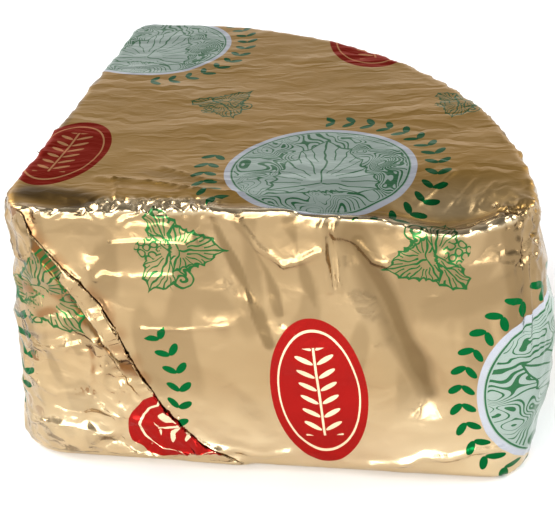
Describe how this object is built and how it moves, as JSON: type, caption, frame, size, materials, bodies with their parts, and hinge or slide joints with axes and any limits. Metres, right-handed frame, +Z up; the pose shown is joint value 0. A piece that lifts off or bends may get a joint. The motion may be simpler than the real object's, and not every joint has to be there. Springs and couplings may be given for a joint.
{
  "type": "foil-wrapped cheese wedge",
  "caption": "Thick wedge of blue cheese shut in gold foil, with a crimped front edge, a foil flap folded round the tip and a curved rim.",
  "frame": {"origin": "centre of the wedge's plan box, on the table plane at its flat bottom", "axes": "+Z up, +X along the front side from the tip corner towards the rim, +Y from the front side towards the far corner"},
  "size_m": [0.1652, 0.171, 0.0878],
  "materials": {
    "gold_foil": "thin crumpled gold-lacquered foil, printed in fields of red, green and pale grey, satin on top and shinier on the walls"
  },
  "bodies": {
    "root": {"foil_wrapped_wedge": "gold_foil"}
  },
  "joints": []
}
